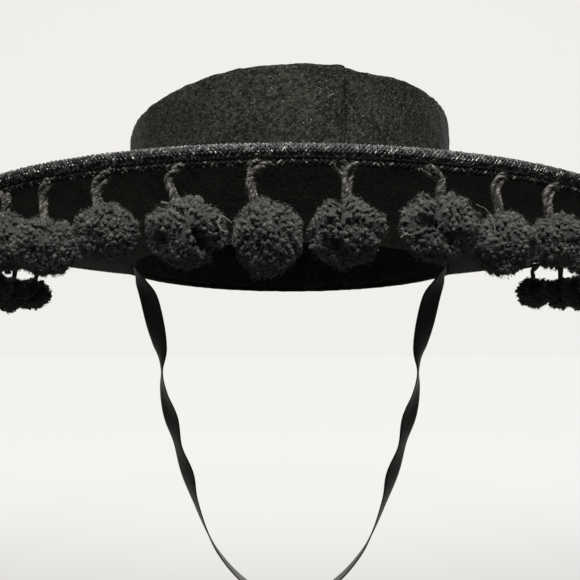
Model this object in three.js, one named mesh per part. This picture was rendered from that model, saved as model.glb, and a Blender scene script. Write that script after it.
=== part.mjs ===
// A flat-topped felt hat with a wide brim, a rope edge, hanging pompoms and a chin strap.
// Millimetres, +Z up. The origin is the centre of the head opening, on the underside of the
// brim; the wearer faces +Y, and the back of the hat, with the seam of the crown, is at -Y.
import * as THREE from "three";

// Driving dimensions: the felt
const gap = 0.3;                 // clearance between neighbouring pieces
const felt = 2;                  // crown felt
const brimFelt = 2.2;            // brim felt
const headHalfWidth = 84;        // inside of the crown, side to side
const headHalfDepth = 99.5;      // inside of the crown, back to front
const crownHeight = 66.6;        // top of the crown above the opening, at its middle
const topFall = 6.6;             // the top drops by this to the front and rises by it to the back
const topLean = 3.5;             // the top rises by this to the right and drops by it to the left
const brimWidth = 79.2;          // from the crown's outer face to the outer face of the rope
const rimHeight = 16.6;          // top of the rope above the opening, at the sides
const rimLift = 2.8;             // the rim is this much higher at the front and lower at the back
const seamTurn = 15;             // where the crown strip laps over itself, degrees from the back
const lapWidth = 9;              // length of the lap
const lapProud = 0.8;            // how far the lap stands out

// Driving dimensions: the trim
const ropeSize = 3.9;            // rope laid round the edge of the brim
const tapeHeight = 2.1;          // narrow tape under the rope, which the pompoms hang from
const tapeThick = 1.7;
const tapeSpare = 0.7;           // it ends this share of the pitch past the last ball
const pompomSize = 20.5;         // mean width of a yarn ball
const pompomPitch = 23.5;        // from one yarn ball to the next along the rope
const pompomHang = 24.6;         // from the top of the rope down to the middle of a ball
const neckSize = 2.5;            // twisted yarn that carries a ball
const firstShift = -0.255;       // place of ball 0 along the rope, as a share of the pitch
const fringeReach = 325;         // how far balls hang along the rope, each way from the back
const ballsLeft = Math.floor(fringeReach / pompomPitch + firstShift);   // left of ball 0
const ballsRight = Math.floor(fringeReach / pompomPitch - firstShift);  // right of ball 0

// Driving dimensions: the chin strap
const strapWidth = 10;
const strapThick = 1;
const strapSeat = 14;            // how far its ends run up the inside of the crown
const strapBack = 20;            // how far behind the middle it leaves the crown
const strapDrop = 198;           // lowest point of the loop under the opening
const strapForward = 84;         // from where it leaves the crown forward to under the chin

// Fineness of the meshes
const crownSteps = 72;
const ropeSteps = 120;
const tapeSteps = 64;
const ballSides = 10;
const strapSteps = 60;

// Brim section: out is a share of the width from the opening to the rope, rise of the rim's height
const brimRows = [
  { out: 0, rise: 0 },
  { out: 0.05, rise: 0 },
  { out: 0.3, rise: 0.4 },
  { out: 0.55, rise: 0.71 },
  { out: 0.8, rise: 0.92 },
  { out: 1, rise: 1 },
];

// Upper edge of the crown: turn in degrees right of the back, drop as a share of the felt
const edgeRows = [
  { turn: 14, drop: 0 },
  { turn: 16, drop: 0.75 },
  { turn: 23, drop: 0.6 },
  { turn: 34, drop: 0 },
];

// Dents of the top: radius as a share of the crown, sink as a share of the felt, and edge the
// share of the upper edge's drop that reaches so far in
const topRows = [
  { radius: 1, sink: 0, edge: 1 },
  { radius: 0.95, sink: 0.1, edge: 0.7 },
  { radius: 0.75, sink: 0.5, edge: 0 },
  { radius: 0.3, sink: 1, edge: 0 },
];

// Yarn balls, one row for each of six neighbours, repeated round the brim. Shift is a share of
// the pitch, wide and tall of the ball's size and hang of pompomHang. The yarn that carries the
// ball leaves the tape at from, bows to bow and enters at into, all shares of the pitch.
// A cleft parts the yarn over the top: its depth is a share of the radius.
const ballRows = [
  { shift: 0, wide: 0.97, tall: 1.08, hang: 1.07, from: 0, bow: -0.21, into: -0.16,
    cleft: 0.05, cleftTurn: 60 },
  { shift: -0.09, wide: 1.08, tall: 1, hang: 1.02, from: 0, bow: 0, into: 0,
    cleft: 0.3, cleftTurn: 0 },
  { shift: 0.06, wide: 1.12, tall: 1.02, hang: 0.92, from: -0.2, bow: 0.08, into: 0.02,
    cleft: 0.25, cleftTurn: -50 },
  { shift: 0, wide: 1, tall: 0.93, hang: 1.06, from: 0.02, bow: -0.1, into: -0.05,
    cleft: 0.1, cleftTurn: 30 },
  { shift: -0.05, wide: 0.94, tall: 0.9, hang: 0.95, from: 0.05, bow: -0.14, into: -0.12,
    cleft: 0.28, cleftTurn: 10 },
  { shift: 0.03, wide: 1.14, tall: 0.98, hang: 1, from: -0.07, bow: -0.23, into: -0.14,
    cleft: 0.3, cleftTurn: 50 },
];
const lockDepth = 0.07;          // locks of yarn stand this share of the radius in and out
const ballRings = [28, 60, 90, 120, 152];   // rings of a ball, degrees down from its top

// One side of the strap: across is a share of its half width at the crown, forward of
// strapForward, down of strapDrop, and face turns the ribbon, 0 flat to the back of the hat.
const strapRows = [
  { across: 0.96, forward: 0.01, down: 0.03, face: 48 },
  { across: 0.915, forward: 0.05, down: 0.07, face: 14 },
  { across: 0.885, forward: 0.1, down: 0.13, face: 6 },
  { across: 0.862, forward: 0.17, down: 0.2, face: 34 },
  { across: 0.86, forward: 0.24, down: 0.26, face: 76 },
  { across: 0.853, forward: 0.31, down: 0.325, face: 60 },
  { across: 0.818, forward: 0.39, down: 0.4, face: 30 },
  { across: 0.785, forward: 0.47, down: 0.48, face: 55 },
  { across: 0.732, forward: 0.56, down: 0.565, face: 35 },
  { across: 0.688, forward: 0.66, down: 0.65, face: 60 },
  { across: 0.55, forward: 0.82, down: 0.81, face: 80 },
  { across: 0.3, forward: 0.95, down: 0.94, face: 90 },
];

// Sizes that follow from them
const crownHalfWidth = headHalfWidth + felt;
const crownHalfDepth = headHalfDepth + felt;
const rimHalfWidth = crownHalfWidth + brimWidth;
const rimHalfDepth = crownHalfDepth + brimWidth;
const ropeHalfWidth = rimHalfWidth - ropeSize / 2;
const ropeHalfDepth = rimHalfDepth - ropeSize / 2;
const brimReach = brimWidth + felt - ropeSize - gap;

function radians(degrees) {
  return THREE.MathUtils.degToRad(degrees);
}

// A point on an ellipse round the origin; turn 0 is the back, turning towards the right
function around(halfWidth, halfDepth, turn, z) {
  return new THREE.Vector3(halfWidth * Math.sin(turn), -halfDepth * Math.cos(turn), z);
}

// Straight lines between the rows of a table, and its end rows beyond them
function between(rows, key, value, name) {
  if (value <= rows[0][key]) {
    return rows[0][name];
  }
  for (let i = 1; i < rows.length; i += 1) {
    if (value <= rows[i][key]) {
      const share = (value - rows[i - 1][key]) / (rows[i][key] - rows[i - 1][key]);
      return THREE.MathUtils.lerp(rows[i - 1][name], rows[i][name], share);
    }
  }
  return rows[rows.length - 1][name];
}

// Height of the rope's middle all round
function ropeHeight(turn) {
  return rimHeight - rimLift * Math.cos(turn) - ropeSize / 2;
}

// Height of the crown's top felt at a place on it
function topHeight(x, y) {
  return crownHeight - topFall * (y / crownHalfDepth) + topLean * (x / crownHalfWidth);
}

function edgeDrop(turn) {
  const degrees = THREE.MathUtils.radToDeg(turn);
  return felt * between(edgeRows, "turn", degrees > 180 ? degrees - 360 : degrees, "drop");
}

// Joins rings of points into one closed skin. A loop of rings needs no ends; otherwise each
// end is closed by a fan to its middle.
function skin(rings, loop) {
  const sides = rings[0].length;
  const points = rings.flat();
  const faces = [];
  const last = loop ? rings.length : rings.length - 1;
  for (let i = 0; i < last; i += 1) {
    const next = (i + 1) % rings.length;
    for (let j = 0; j < sides; j += 1) {
      const k = (j + 1) % sides;
      faces.push(i * sides + j, i * sides + k, next * sides + k);
      faces.push(i * sides + j, next * sides + k, next * sides + j);
    }
  }
  if (!loop) {
    const start = points.length;
    points.push(middle(rings[0]), middle(rings[rings.length - 1]));
    const base = (rings.length - 1) * sides;
    for (let j = 0; j < sides; j += 1) {
      const k = (j + 1) % sides;
      faces.push(start, k, j);
      faces.push(start + 1, base + j, base + k);
    }
  }
  const geometry = new THREE.BufferGeometry().setFromPoints(points);
  geometry.setIndex(faces);
  geometry.computeVertexNormals();
  return geometry;
}

function middle(ring) {
  const sum = new THREE.Vector3();
  for (const point of ring) {
    sum.add(point);
  }
  return sum.divideScalar(ring.length);
}

// A ring-shaped piece: section(turn) gives its outline at each step round the hat
function ringPiece(steps, section) {
  const rings = [];
  for (let i = 0; i < steps; i += 1) {
    rings.push(section((i / steps) * 2 * Math.PI));
  }
  return skin(rings, true);
}

const hat = new THREE.Group();

function add(name, geometry, colour, roughness) {
  const material = new THREE.MeshStandardMaterial({ color: colour, roughness, metalness: 0 });
  const mesh = new THREE.Mesh(geometry, material);
  mesh.name = name;
  hat.add(mesh);
}

// Felt strip of the crown, standing on the brim, with its lap at the seam
function crownSection(turn) {
  const lapTurn = lapWidth / crownHalfDepth;
  const before = radians(seamTurn) - turn;
  const proud = before >= 0 && before < lapTurn ? lapProud : 0;
  const edge = around(crownHalfWidth, crownHalfDepth, turn, 0);
  const top = topHeight(edge.x, edge.y) - edgeDrop(turn) - felt - gap;
  const foot = brimFelt + gap;
  const out = [crownHalfWidth + proud, crownHalfDepth + proud];
  return [
    around(headHalfWidth, headHalfDepth, turn, foot),
    around(headHalfWidth, headHalfDepth, turn, top),
    around(out[0], out[1], turn, top),
    around(out[0], out[1], turn, foot),
  ];
}

// Flat felt top of the crown, sagging a little inside its edge
function crownTop() {
  const level = (row, depth) => {
    const ring = [];
    for (let i = 0; i < crownSteps; i += 1) {
      const turn = (i / crownSteps) * 2 * Math.PI;
      const point = around(crownHalfWidth * row.radius, crownHalfDepth * row.radius, turn, 0);
      const drop = edgeDrop(turn) * row.edge + felt * row.sink + depth;
      point.z = topHeight(point.x, point.y) - drop;
      ring.push(point);
    }
    return ring;
  };
  const under = topRows.map((row) => level(row, felt)).reverse();
  const over = topRows.map((row) => level(row, 0));
  return skin([...under, ...over], false);
}

// Brim: from the head opening out to the rope, rising towards its edge
function brimSection(turn) {
  const rise = ropeHeight(turn) - brimFelt / 2;
  const under = brimRows.map((row) => around(
    headHalfWidth + brimReach * row.out, headHalfDepth + brimReach * row.out,
    turn, rise * row.rise));
  const over = under.map((point) => point.clone().setZ(point.z + brimFelt));
  return [...over, ...under.reverse()];
}

// Rope laid round the edge of the brim
function ropeSection(turn) {
  const sides = 8;
  const ring = [];
  for (let i = 0; i < sides; i += 1) {
    const angle = -(i / sides) * 2 * Math.PI;
    const out = (ropeSize / 2) * Math.cos(angle);
    const up = (ropeSize / 2) * Math.sin(angle);
    ring.push(around(ropeHalfWidth + out, ropeHalfDepth + out, turn, ropeHeight(turn) + up));
  }
  return ring;
}

// Tape under the rope, where the balls hang
function tapeSection(turn) {
  const top = ropeHeight(turn) - ropeSize / 2 - gap;
  const half = tapeThick / 2;
  return [
    around(ropeHalfWidth - half, ropeHalfDepth - half, turn, top - tapeHeight),
    around(ropeHalfWidth - half, ropeHalfDepth - half, turn, top),
    around(ropeHalfWidth + half, ropeHalfDepth + half, turn, top),
    around(ropeHalfWidth + half, ropeHalfDepth + half, turn, top - tapeHeight),
  ];
}

// One yarn ball on its twisted yarn, made upright at the origin of its own frame: x along the
// rope, y inwards, z up from the middle of the ball
function pompom(row, top) {
  const wide = (pompomSize / 2) * row.wide;
  const tall = (pompomSize / 2) * row.tall;
  const neckRows = [
    { z: top, shift: row.from },
    { z: THREE.MathUtils.lerp(top, tall, 0.5), shift: row.bow },
    { z: tall, shift: row.into },
  ];
  const rings = neckRows.map((place) => ballRing(
    place.z, neckSize / 2, pompomPitch * place.shift, () => 1));
  ballRings.forEach((down, i) => {
    const angle = radians(down);
    const lock = (j, turn) => {
      const wave = (i + j) % 2 === 0 ? 1 + lockDepth : 1 - lockDepth;
      const off = Math.cos(turn - radians(row.cleftTurn));
      const parting = Math.exp(-((1 - off * off) / 0.35)) * Math.max(0, Math.cos(angle) + 0.2);
      return wave * (1 - row.cleft * Math.min(1, parting));
    };
    rings.push(ballRing(tall * Math.cos(angle), wide * Math.sin(angle), 0, lock));
  });
  rings.push(ballRing(-tall, neckSize / 2, 0, () => 1));
  return skin(rings.reverse(), false);
}

function ballRing(z, radius, shift, lock) {
  const ring = [];
  for (let j = 0; j < ballSides; j += 1) {
    const turn = (j / ballSides) * 2 * Math.PI;
    const size = radius * lock(j, turn);
    ring.push(new THREE.Vector3(shift + size * Math.cos(turn), size * Math.sin(turn), z));
  }
  return ring;
}

// Middle line of the rope, from the back of the hat towards the right
const rim = new THREE.EllipseCurve(0, 0, ropeHalfWidth, ropeHalfDepth,
  -Math.PI / 2, 1.5 * Math.PI);
rim.arcLengthDivisions = 720;
const rimLength = rim.getLength();

// The place and turn at a number of pitches along the rope from the back
function alongRim(pitches) {
  const share = (pitches * pompomPitch) / rimLength;
  const place = rim.getPointAt((share + 1) % 1);
  const turn = Math.atan2(place.x / ropeHalfWidth, -place.y / ropeHalfDepth);
  return { place, turn };
}

function fringeTape() {
  const start = firstShift - ballsLeft - tapeSpare;
  const end = firstShift + ballsRight + tapeSpare;
  const rings = [];
  for (let i = 0; i <= tapeSteps; i += 1) {
    rings.push(tapeSection(alongRim(THREE.MathUtils.lerp(start, end, i / tapeSteps)).turn));
  }
  return skin(rings, false);
}

function addPompoms() {
  for (let i = -ballsLeft; i <= ballsRight; i += 1) {
    const row = ballRows[(i + ballRows.length * ballsLeft) % ballRows.length];
    const { place, turn } = alongRim(i + firstShift + row.shift);
    const heading = Math.atan2(-place.x / ropeHalfWidth ** 2, place.y / ropeHalfDepth ** 2);
    const rope = ropeHeight(turn);
    const centre = rope + ropeSize / 2 - pompomHang * row.hang;
    const hook = rope - ropeSize / 2 - tapeHeight - 2 * gap;
    const ball = pompom(row, hook - centre);
    ball.rotateZ(heading + Math.PI);
    ball.translate(place.x, place.y, centre);
    add(`pompom_${String(i + ballsLeft + 1).padStart(2, "0")}`, ball, 0x1c1c1a, 0.95);
  }
}

// Chin strap: a ribbon from the inside of the crown down both sides and under the chin
function chinStrap() {
  const seat = Math.asin(strapBack / headHalfDepth);
  const anchor = headHalfWidth * Math.cos(seat) - strapThick / 2 - 2 * gap;
  const wallFace = 90 - THREE.MathUtils.radToDeg(
    Math.atan(Math.tan(seat) * (headHalfWidth / headHalfDepth)));
  const rows = [
    { x: anchor, y: -strapBack, z: strapSeat, face: wallFace },
    { x: anchor, y: -strapBack, z: brimFelt, face: wallFace },
    ...strapRows.map((row) => ({
      x: anchor * row.across,
      y: strapForward * row.forward - strapBack,
      z: -strapDrop * row.down,
      face: row.face,
    })),
  ];
  const left = rows.map((row) => ({ ...row, x: -row.x, face: 180 - row.face }));
  const right = [...rows].reverse();
  const chin = { x: 0, y: strapForward - strapBack, z: -strapDrop, face: 90 };
  const all = [...left, chin, ...right];
  const path = new THREE.CatmullRomCurve3(
    all.map((row) => new THREE.Vector3(row.x, row.y, row.z)), false, "centripetal");
  const rings = [];
  for (let i = 0; i <= strapSteps; i += 1) {
    const t = i / strapSteps;
    const at = t * (all.length - 1);
    const base = Math.min(Math.floor(at), all.length - 2);
    const face = radians(THREE.MathUtils.lerp(all[base].face, all[base + 1].face, at - base));
    const point = path.getPoint(t);
    const along = path.getTangent(t);
    const wide = new THREE.Vector3(Math.cos(face), Math.sin(face), 0);
    wide.addScaledVector(along, -wide.dot(along)).normalize();
    const thick = new THREE.Vector3().crossVectors(along, wide);
    rings.push([[-1, -1], [1, -1], [1, 1], [-1, 1]].map(([across, out]) => point.clone()
      .addScaledVector(wide, across * strapWidth / 2)
      .addScaledVector(thick, out * strapThick / 2)));
  }
  return skin(rings, false);
}

add("crown_side", ringPiece(crownSteps, crownSection), 0x2d2e28, 0.95);
add("crown_top", crownTop(), 0x2d2e28, 0.95);
add("brim", ringPiece(crownSteps, brimSection), 0x2a2a25, 0.95);
add("edge_rope", ringPiece(ropeSteps, ropeSection), 0x2b2b2c, 0.8);
add("fringe_tape", fringeTape(), 0x222222, 0.9);
addPompoms();
add("chin_strap", chinStrap(), 0x0b0a08, 0.6);

export default hat;
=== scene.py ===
"""Looks of a flat-topped felt hat with a rope edge, yarn pompoms and a chin ribbon.

Metres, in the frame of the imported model: +Z up, the wearer faces +Y, the back is at -Y.
"""
import math

import bpy
import numpy as np
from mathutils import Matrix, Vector


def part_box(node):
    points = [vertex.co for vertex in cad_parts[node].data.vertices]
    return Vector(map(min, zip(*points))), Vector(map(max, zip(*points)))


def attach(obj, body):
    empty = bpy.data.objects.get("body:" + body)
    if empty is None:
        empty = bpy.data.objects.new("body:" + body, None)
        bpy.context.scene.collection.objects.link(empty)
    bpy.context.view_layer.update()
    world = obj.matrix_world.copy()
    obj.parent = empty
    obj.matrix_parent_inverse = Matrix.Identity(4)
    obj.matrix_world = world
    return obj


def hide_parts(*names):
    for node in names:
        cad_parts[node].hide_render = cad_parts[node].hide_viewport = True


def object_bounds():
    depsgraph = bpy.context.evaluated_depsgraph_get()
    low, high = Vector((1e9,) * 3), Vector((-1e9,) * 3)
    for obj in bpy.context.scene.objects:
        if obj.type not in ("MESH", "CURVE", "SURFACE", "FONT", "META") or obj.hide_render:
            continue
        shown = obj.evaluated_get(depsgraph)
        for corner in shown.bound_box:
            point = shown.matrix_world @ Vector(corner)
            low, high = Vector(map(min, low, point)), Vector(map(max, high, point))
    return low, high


MM = 0.001
TURN = 2 * math.pi

# The felt
FELT = 2.0 * MM
BRIM_FELT = 2.2 * MM
GAP = 0.3 * MM              # between pieces that touch
SEAM_TURN = math.radians(15)
LAP_WIDTH = 9 * MM
LAP_PROUD = 0.8 * MM

# The trim
ROPE = 3.9 * MM
ROPE_STRANDS = 6            # in each direction
ROPE_LAY = 8.0 * MM         # length of one turn of a strand
TAPE_HEIGHT = 2.1 * MM
PITCH = 23.5 * MM           # from one pompom to the next
POMPOM = 20.5 * MM          # mean width of a pompom

# The ribbon
RIBBON_WIDTH = 10 * MM
RIBBON_THICK = 0.8 * MM
RIBBON_RIBS = 560 / 0.9     # along the whole loop
STRAP_SEAT = 14 * MM        # height of its ends inside the crown
STRAP_BACK = 20 * MM        # how far its ends are behind the middle
STRAP_DROP = 198 * MM
STRAP_FORWARD = 84 * MM     # from its ends to the chin

# Camera: the photograph's place and angle, and its focal length in pixels of a 580 pixel frame
EYE = (0.0, -0.350, -0.044)
EYE_PITCH = math.radians(5.7)
FOCAL_PIXELS = 640
FRAME_PIXELS = 580
SENSOR = 36

# Brightness of the surroundings, and where pale turns to white, as cosines of the angle from +Y
PALE, WHITE = 0.42, 0.88
WHITE_FROM, WHITE_TO = -0.3, 0.9
STUDIO_COLOUR = (1, 0.985, 0.95, 1)
FLOOR_GAP = 2 * MM          # from the ribbon down to the floor
FLOOR_SUNLIT = 0.056        # what the lights add to the floor's own brightness
FLOOR_START, FLOOR_REACH = 0.03, 40
FLOOR_RINGS, FLOOR_SIDES = 70, 96
GLOW_BACK, GLOW_OVER = 0.1, 0.4     # its brightness turns round a place so far behind and above

# Lights: azimuth 0 shines from the camera's side, and elevation is above level, both in degrees
KEY = {"place": (0.01, -0.42, 0.32), "target": (0, -0.1, 0.02), "size": 0.14, "watts": 11.2}
SUNS = (
    {"name": "front left", "azimuth": 215, "elevation": 40, "strength": 5.8},
    {"name": "front right", "azimuth": 145, "elevation": 34, "strength": 5.0},
)
SUN_SOFTNESS = math.radians(30)

# Colours
FELT_DARK, FELT_LIGHT = (0.0034, 0.0035, 0.0027), (0.0145, 0.0148, 0.0116)
FELT_FLECK = (0.035, 0.035, 0.030)
RIBBON_DARK, RIBBON_LIGHT = (0.0007, 0.0006, 0.0005), (0.0016, 0.0015, 0.0012)
YARNS = {
    "yarn": {"dark": (0.0026, 0.0026, 0.0024), "light": (0.0415, 0.0407, 0.0377),
             "size": 0.5 * MM, "roughness": 0.95},
    "cord": {"dark": (0.0014, 0.0014, 0.0014), "light": (0.34, 0.34, 0.315),
             "size": 0.5 * MM, "roughness": 0.5, "sheen": 0, "gloss": 0.13, "paired": True},
    "header": {"dark": (0.0008, 0.0008, 0.0007), "light": (0.06, 0.0585, 0.052),
               "size": 0.5 * MM, "roughness": 1.0, "sheen": 0, "gloss": 0.05},
    "tie_yarn": {"dark": (0.0029, 0.0027, 0.0023), "light": (0.070, 0.0645, 0.0535),
                 "size": 0.4 * MM},
    "loose_thread": {"dark": (0.016, 0.016, 0.015), "light": (0.088, 0.0865, 0.08),
                     "size": 0.4 * MM},
}

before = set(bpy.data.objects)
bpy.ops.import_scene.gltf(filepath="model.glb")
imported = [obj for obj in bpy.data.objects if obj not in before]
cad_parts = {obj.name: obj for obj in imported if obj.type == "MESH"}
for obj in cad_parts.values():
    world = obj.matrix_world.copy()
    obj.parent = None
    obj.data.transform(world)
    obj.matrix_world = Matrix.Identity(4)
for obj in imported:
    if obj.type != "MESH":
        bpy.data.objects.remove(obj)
CAD_LOW, CAD_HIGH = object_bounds()


def cad_points(node):
    """The corners of a CAD node's mesh."""
    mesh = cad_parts[node].data
    points = np.zeros(len(mesh.vertices) * 3)
    mesh.vertices.foreach_get("co", points)
    return points.reshape(-1, 3)


def half_size(node):
    """Half the width and half the depth of a CAD node."""
    low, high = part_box(node)
    return (high.x - low.x) / 2, (high.y - low.y) / 2


CROWN_X, CROWN_Y = half_size("crown_top")
HEAD_X, HEAD_Y = CROWN_X - FELT, CROWN_Y - FELT
RIM_X, RIM_Y = half_size("edge_rope")
ROPE_X, ROPE_Y = RIM_X - ROPE / 2, RIM_Y - ROPE / 2


def rope_fit():
    """Height of the rope's middle at the sides, and how far the front is above that."""
    points = cad_points("edge_rope")
    turn = np.arctan2(points[:, 0] / ROPE_X, -points[:, 1] / ROPE_Y)
    wave = np.stack([np.ones(len(turn)), -np.cos(turn)], 1)
    return np.linalg.lstsq(wave, points[:, 2], rcond=None)[0]


ROPE_LEVEL, ROPE_LIFT = rope_fit()


def rope_height(turn):
    """Height of the rope's middle."""
    return ROPE_LEVEL - ROPE_LIFT * np.cos(turn)


def edge_table():
    """Turn and height of the upper edge of the crown, read from the CAD top."""
    points = cad_points("crown_top")
    share = np.hypot(points[:, 0] / CROWN_X, points[:, 1] / CROWN_Y)
    points = points[share > 0.999]
    turn = np.mod(np.arctan2(points[:, 0] / CROWN_X, -points[:, 1] / CROWN_Y), TURN)
    keys = np.unique(np.round(turn, 3))
    heights = [points[np.abs(turn - key) < 0.002][:, 2].max() for key in keys]
    return keys, np.array(heights)


EDGE_TURNS, EDGE_HEIGHTS = edge_table()


def edge_height(turn):
    """Height of the upper edge of the crown."""
    return np.interp(np.mod(turn, TURN), EDGE_TURNS, EDGE_HEIGHTS, period=TURN)


def around(half_x, half_y, turn, z):
    """Points on an ellipse round the hat; turn 0 is the back, turning towards the right."""
    return np.stack(np.broadcast_arrays(half_x * np.sin(turn), -half_y * np.cos(turn), z), -1)


def waves(points, length, seed, count=7):
    """Smooth noise of about -1 to 1 with features of that length."""
    draw = np.random.default_rng(seed)
    total = np.zeros(points.shape[:-1])
    for _ in range(count):
        way = draw.normal(size=3)
        way *= TURN / length * draw.uniform(0.7, 1.4) / np.linalg.norm(way)
        total += np.sin(points @ way + draw.uniform(0, TURN))
    return total / math.sqrt(count / 2) / 1.4


def unit(vectors):
    """The same directions with length 1."""
    return vectors / np.linalg.norm(vectors, axis=-1, keepdims=True)


def heading_at(turn):
    """Angle from +X of the way along the rope at a turn, seen from above."""
    return math.atan2(math.sin(turn) * ROPE_Y, math.cos(turn) * ROPE_X)


def turning(heading):
    """Matrix that turns points about the vertical."""
    return np.array([[math.cos(heading), -math.sin(heading), 0],
                     [math.sin(heading), math.cos(heading), 0], [0, 0, 1]])


class Pieces:
    """Collects the corners and faces of one mesh, with a tint and a place across for each."""

    def __init__(self):
        self.points, self.quads, self.triangles = [], [], []
        self.tints, self.across = [], []
        self.count = 0

    def add(self, points, quads=None, triangles=None, tint=0.5, across=0.5):
        """Adds corners, and faces that count from the first of them."""
        points = np.asarray(points, float).reshape(-1, 3)
        if quads is not None:
            self.quads.append(np.asarray(quads) + self.count)
        if triangles is not None:
            self.triangles.append(np.asarray(triangles) + self.count)
        self.points.append(points)
        self.tints.append(np.broadcast_to(np.asarray(tint, float).ravel(), len(points)))
        self.across.append(np.broadcast_to(np.asarray(across, float).ravel(), len(points)))
        self.count += len(points)

    def skin(self, rings, loop=False, tint=0.5, across=0.5):
        """Rings of points joined to one closed skin; open ends get a fan to their middle."""
        count, sides = rings.shape[:2]
        i = np.arange(count if loop else count - 1)[:, None]
        j = np.arange(sides)[None, :]
        after, beside = (i + 1) % count, (j + 1) % sides
        quads = np.stack(np.broadcast_arrays(
            i * sides + j, i * sides + beside, after * sides + beside, after * sides + j), -1)
        points = rings.reshape(-1, 3)
        tint = np.broadcast_to(np.asarray(tint, float), rings.shape[:2]).ravel()
        across = np.broadcast_to(np.asarray(across, float), rings.shape[:2]).ravel()
        triangles = None
        if not loop:
            j = np.arange(sides)
            beside = (j + 1) % sides
            last = (count - 1) * sides
            start = np.stack([np.full(sides, len(points)), beside, j], 1)
            end = np.stack([np.full(sides, len(points) + 1), last + j, last + beside], 1)
            triangles = np.concatenate([start, end])
            points = np.concatenate([points, rings[0].mean(0)[None], rings[-1].mean(0)[None]])
            tint = np.concatenate([tint, tint[:1], tint[-1:]])
            across = np.concatenate([across, across[:1], across[-1:]])
        self.add(points, quads.reshape(-1, 4), triangles, tint, across)

    def move(self, turned, middle):
        """Turns all that is collected about the origin, then sets it at a place."""
        for points in self.points:
            points[:] = points @ turned.T + middle

    def build(self, name, material, slot, replaced=()):
        """Makes the object, which rides on the one body and stands for the replaced nodes."""
        points = np.concatenate(self.points)
        quads = np.concatenate(self.quads) if self.quads else np.zeros((0, 4), int)
        triangles = np.concatenate(self.triangles) if self.triangles else np.zeros((0, 3), int)
        mesh = bpy.data.meshes.new(name)
        mesh.vertices.add(len(points))
        mesh.vertices.foreach_set("co", points.astype(np.float32).ravel())
        corners = np.concatenate([quads.ravel(), triangles.ravel()]).astype(np.int32)
        mesh.loops.add(len(corners))
        mesh.loops.foreach_set("vertex_index", corners)
        starts = np.concatenate([np.arange(len(quads)) * 4,
                                 len(quads) * 4 + np.arange(len(triangles)) * 3])
        mesh.polygons.add(len(starts))
        mesh.polygons.foreach_set("loop_start", starts.astype(np.int32))
        mesh.polygons.foreach_set("use_smooth", np.ones(len(starts), bool))
        mesh.update(calc_edges=True)
        for label, values in (("tint", self.tints), ("across", self.across)):
            layer = mesh.attributes.new(label, "FLOAT", "POINT")
            layer.data.foreach_set("value", np.concatenate(values).astype(np.float32))
        mesh.materials.append(material)
        piece = bpy.data.objects.new(name, mesh)
        bpy.context.scene.collection.objects.link(piece)
        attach(piece, "root")
        if replaced:
            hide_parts(*replaced)
        return piece


def sweep(path, normals, radii, sides, loop=False):
    """Rings of a round tube along a path, turned by the normals."""
    if loop:
        along = np.roll(path, -1, 0) - np.roll(path, 1, 0)
    else:
        along = np.gradient(path, axis=0)
    along = unit(along)
    normals = unit(normals - (normals * along).sum(-1, keepdims=True) * along)
    beside = np.cross(along, normals)
    angle = np.arange(sides) / sides * TURN
    ring = (np.cos(angle)[None, :, None] * normals[:, None]
            + np.sin(angle)[None, :, None] * beside[:, None])
    radii = np.broadcast_to(np.asarray(radii, float), len(path))
    return path[:, None] + radii[:, None, None] * ring


def spikes(pieces, roots, ways, lengths, width, draw, tint):
    """Short straight fibres: slim three-sided needles."""
    side = unit(np.cross(ways, draw.normal(size=ways.shape)))
    other = np.cross(ways, side)
    points = [roots + ways * lengths[:, None]]
    for angle in (0, TURN / 3, TURN * 2 / 3):
        points.append(roots + width * (math.cos(angle) * side + math.sin(angle) * other))
    points = np.stack(points, 1)
    base = np.arange(len(roots))[:, None] * 4
    faces = np.array([[0, 1, 2], [0, 2, 3], [0, 3, 1], [1, 3, 2]])
    triangles = (base[:, :, None] + faces[None]).reshape(-1, 3)
    pieces.add(points.reshape(-1, 3), None, triangles, np.repeat(tint, 4))


# Materials

def new_material(name, roughness, sheen=0.0):
    """A dull material with its nodes, links and shader."""
    material = bpy.data.materials.new(name)
    material.use_nodes = True
    nodes, links = material.node_tree.nodes, material.node_tree.links
    shader = nodes["Principled BSDF"]
    shader.inputs["Roughness"].default_value = roughness
    shader.inputs["Specular IOR Level"].default_value = 0.2
    shader.inputs["Sheen Weight"].default_value = sheen
    shader.inputs["Sheen Roughness"].default_value = 0.5
    shader.inputs["Sheen Tint"].default_value = (0.8, 0.8, 0.75, 1)
    return material, nodes, links, shader


def node(nodes, kind, **values):
    """A node with its settings; those that start with in_ are inputs."""
    made = nodes.new(kind)
    for key, value in values.items():
        if key.startswith("in_"):
            made.inputs[key[3:].replace("_", " ")].default_value = value
        else:
            setattr(made, key, value)
    return made


def mapped(nodes, links, turn=(0, 0, 0), stretch=(1, 1, 1)):
    """The piece's own coordinates; what is drawn with them is stretched, then turned."""
    place = nodes.new("ShaderNodeTexCoord")
    mapping = nodes.new("ShaderNodeMapping")
    mapping.vector_type = "TEXTURE"
    mapping.inputs["Rotation"].default_value = turn
    mapping.inputs["Scale"].default_value = stretch
    links.new(place.outputs["Object"], mapping.inputs["Vector"])
    return mapping.outputs["Vector"]


def noise(nodes, links, vector, size, detail=2.0, rough=0.5):
    """Noise with features of that size."""
    made = node(nodes, "ShaderNodeTexNoise", in_Scale=1 / size, in_Detail=detail,
                in_Roughness=rough)
    links.new(vector, made.inputs["Vector"])
    return made.outputs["Fac"]


def ramp(nodes, links, factor, stops):
    """Colour ramp with (place, colour) stops."""
    made = nodes.new("ShaderNodeValToRGB")
    band = made.color_ramp
    while len(band.elements) < len(stops):
        band.elements.new(0.5)
    for element, (place, colour) in zip(band.elements, stops):
        element.position = place
        element.color = (*colour, 1)
    links.new(factor, made.inputs["Fac"])
    return made.outputs["Color"]


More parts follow.
